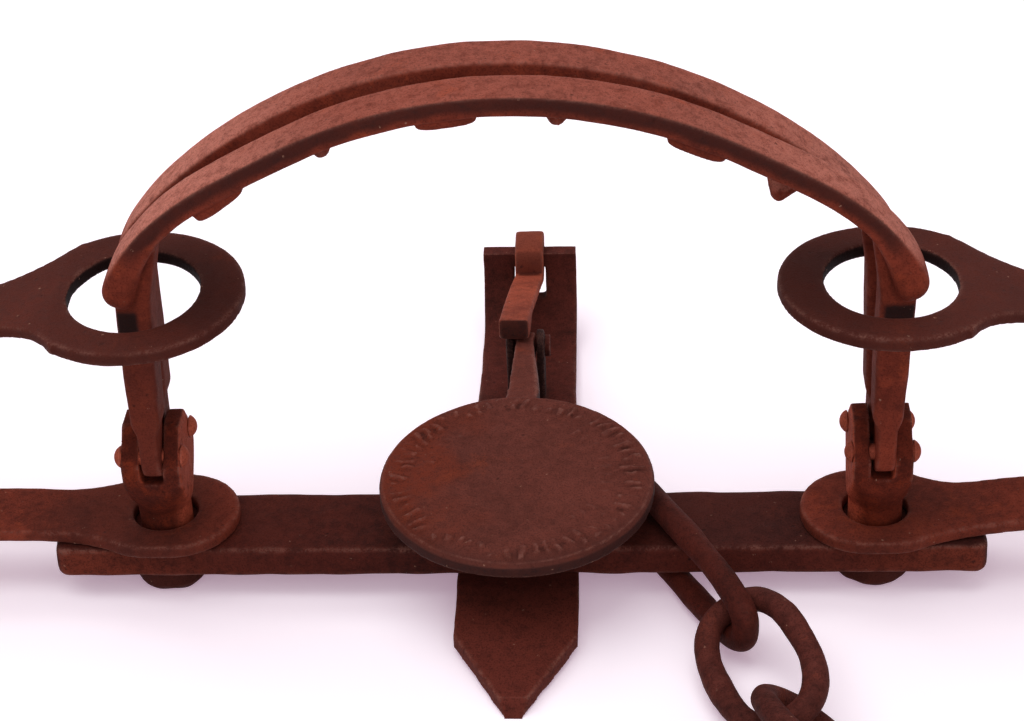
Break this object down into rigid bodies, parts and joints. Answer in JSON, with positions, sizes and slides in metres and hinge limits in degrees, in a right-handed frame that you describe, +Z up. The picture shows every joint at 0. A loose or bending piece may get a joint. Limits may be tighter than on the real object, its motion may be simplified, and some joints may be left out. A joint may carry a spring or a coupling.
{
  "type": "leghold trap",
  "caption": "Rusted double long spring leghold trap, sprung shut: arched toothed jaws on forked posts, bowed flat springs, round pan, dog and a chain.",
  "frame": {"origin": "on the ground under the middle rivet that joins the base bar and the cross strap", "axes": "+X along the base bar from the left post to the right one, +Y from the pointed end of the cross strap towards its upright, +Z up"},
  "size_m": [0.5064, 0.4587, 0.1314],
  "materials": {
    "dark_rust": "rusted, matte",
    "post_rust": "rusted, matte",
    "jaw_rust": "rusted, matte",
    "spring_rust": "rusted, matte",
    "pan_rust": "rusted, matte",
    "chain_rust": "rusted, matte"
  },
  "bodies": {
    "frame": {"base_bar": "dark_rust", "cross_strap": "dark_rust", "cross_rivet": "dark_rust", "left_post": "post_rust", "right_post": "post_rust", "left_front_pin": "post_rust", "left_rear_pin": "post_rust", "right_front_pin": "post_rust", "right_rear_pin": "post_rust", "pan_pin": "pan_rust"},
    "front_jaw": {"front_jaw": "jaw_rust"},
    "rear_jaw": {"rear_jaw": "jaw_rust"},
    "left_spring_lower": {"left_spring_lower": "spring_rust"},
    "left_spring_upper": {"left_spring_upper": "spring_rust"},
    "right_spring_lower": {"right_spring_lower": "spring_rust"},
    "right_spring_upper": {"right_spring_upper": "spring_rust"},
    "pan": {"pan": "pan_rust"},
    "dog": {"dog": "post_rust"},
    "long_link": {"long_link": "chain_rust"},
    "chain_link_1": {"chain_link_1": "chain_rust"},
    "chain_link_2": {"chain_link_2": "chain_rust"},
    "chain_link_3": {"chain_link_3": "chain_rust"},
    "chain_link_4": {"chain_link_4": "chain_rust"},
    "chain_link_5": {"chain_link_5": "chain_rust"},
    "chain_link_6": {"chain_link_6": "chain_rust"},
    "chain_link_7": {"chain_link_7": "chain_rust"},
    "chain_link_8": {"chain_link_8": "chain_rust"},
    "swivel_body": {"swivel_body": "chain_rust"},
    "swivel_pin": {"swivel_pin": "chain_rust"},
    "end_ring": {"end_ring": "chain_rust"}
  },
  "joints": [
    {"name": "front_jaw_hinge", "type": "hinge", "parent": "frame", "child": "front_jaw", "pos_m": [0, -0.006, 0.038], "axis": [1, 0, 0], "range_deg": [0, 90], "stiffness_Nm_per_rad": 4, "springref_deg": -17.19, "deforming": ["left_spring_upper", "right_spring_upper"]},
    {"name": "rear_jaw_hinge", "type": "hinge", "parent": "frame", "child": "rear_jaw", "pos_m": [0, 0.006, 0.038], "axis": [-1, 0, 0], "range_deg": [0, 90]},
    {"name": "left_spring_swing", "type": "hinge", "parent": "frame", "child": "left_spring_lower", "pos_m": [-0.0825, 0, 0.038], "axis": [0, 0, 1], "range_deg": [-25, 25]},
    {"name": "right_spring_swing", "type": "hinge", "parent": "frame", "child": "right_spring_lower", "pos_m": [0.0825, 0, 0.038], "axis": [0, 0, 1], "range_deg": [-25, 25]},
    {"name": "left_spring_squeeze", "type": "hinge", "parent": "left_spring_lower", "child": "left_spring_upper", "pos_m": [-0.24141, 0, 0.04286], "axis": [0, 1, 0], "range_deg": [0, 16.7]},
    {"name": "right_spring_squeeze", "type": "hinge", "parent": "right_spring_lower", "child": "right_spring_upper", "pos_m": [0.24141, 0, 0.04286], "axis": [0, -1, 0], "range_deg": [0, 16.7]},
    {"name": "pan_hinge", "type": "hinge", "parent": "frame", "child": "pan", "pos_m": [0, 0.066, 0.0205], "axis": [-1, 0, 0], "range_deg": [0, 8]},
    {"name": "dog_hinge", "type": "hinge", "parent": "frame", "child": "dog", "pos_m": [0, 0.108, 0.022], "axis": [-1, 0, 0], "range_deg": [0, 180]},
    {"name": "long_link_turn", "type": "hinge", "parent": "frame", "child": "long_link", "pos_m": [0.0332, 0, 0.00957], "axis": [0, 0, 1], "range_deg": [-12, 12]},
    {"name": "chain_link_1_turn", "type": "hinge", "parent": "long_link", "child": "chain_link_1", "pos_m": [0.04911, -0.03123, 0.011], "axis": [0, 0, 1], "range_deg": [-10, 12]},
    {"name": "chain_link_2_turn", "type": "hinge", "parent": "chain_link_1", "child": "chain_link_2", "pos_m": [0.05822, -0.05925, 0.00957], "axis": [0, 0, 1], "range_deg": [-12, 6]},
    {"name": "chain_link_3_turn", "type": "hinge", "parent": "chain_link_2", "child": "chain_link_3", "pos_m": [0.07385, -0.08427, 0.00957], "axis": [0, 0, 1], "range_deg": [-12, 12]},
    {"name": "chain_link_4_turn", "type": "hinge", "parent": "chain_link_3", "child": "chain_link_4", "pos_m": [0.07998, -0.11313, 0.00957], "axis": [0, 0, 1], "range_deg": [-12, 12]},
    {"name": "chain_link_5_turn", "type": "hinge", "parent": "chain_link_4", "child": "chain_link_5", "pos_m": [0.0769, -0.14246, 0.00957], "axis": [0, 0, 1], "range_deg": [-12, 12]},
    {"name": "chain_link_6_turn", "type": "hinge", "parent": "chain_link_5", "child": "chain_link_6", "pos_m": [0.08303, -0.17132, 0.00957], "axis": [0, 0, 1], "range_deg": [-12, 12]},
    {"name": "chain_link_7_turn", "type": "hinge", "parent": "chain_link_6", "child": "chain_link_7", "pos_m": [0.07995, -0.20066, 0.00957], "axis": [0, 0, 1], "range_deg": [-12, 12]},
    {"name": "chain_link_8_turn", "type": "hinge", "parent": "chain_link_7", "child": "chain_link_8", "pos_m": [0.08608, -0.22951, 0.00957], "axis": [0, 0, 1], "range_deg": [-12, 12]},
    {"name": "swivel_body_turn", "type": "hinge", "parent": "chain_link_8", "child": "swivel_body", "pos_m": [0.083, -0.25885, 0.00957], "axis": [0, 0, 1], "range_deg": [-12, 12]},
    {"name": "swivel_spin", "type": "hinge", "parent": "swivel_body", "child": "swivel_pin", "pos_m": [0.083, -0.25885, 0.00957], "axis": [0.2079, -0.9781, 0], "continuous": true},
    {"name": "end_ring_lift", "type": "hinge", "parent": "swivel_pin", "child": "end_ring", "pos_m": [0.09159, -0.29925, 0.00957], "axis": [-0.9781, -0.2079, 0], "range_deg": [0, 90]}
  ],
  "couplings": [
    {"joint": "rear_jaw_hinge", "follows": "front_jaw_hinge", "ratio": 1},
    {"joint": "left_spring_squeeze", "follows": "front_jaw_hinge", "ratio": 0.18556},
    {"joint": "right_spring_squeeze", "follows": "front_jaw_hinge", "ratio": 0.18556}
  ]
}
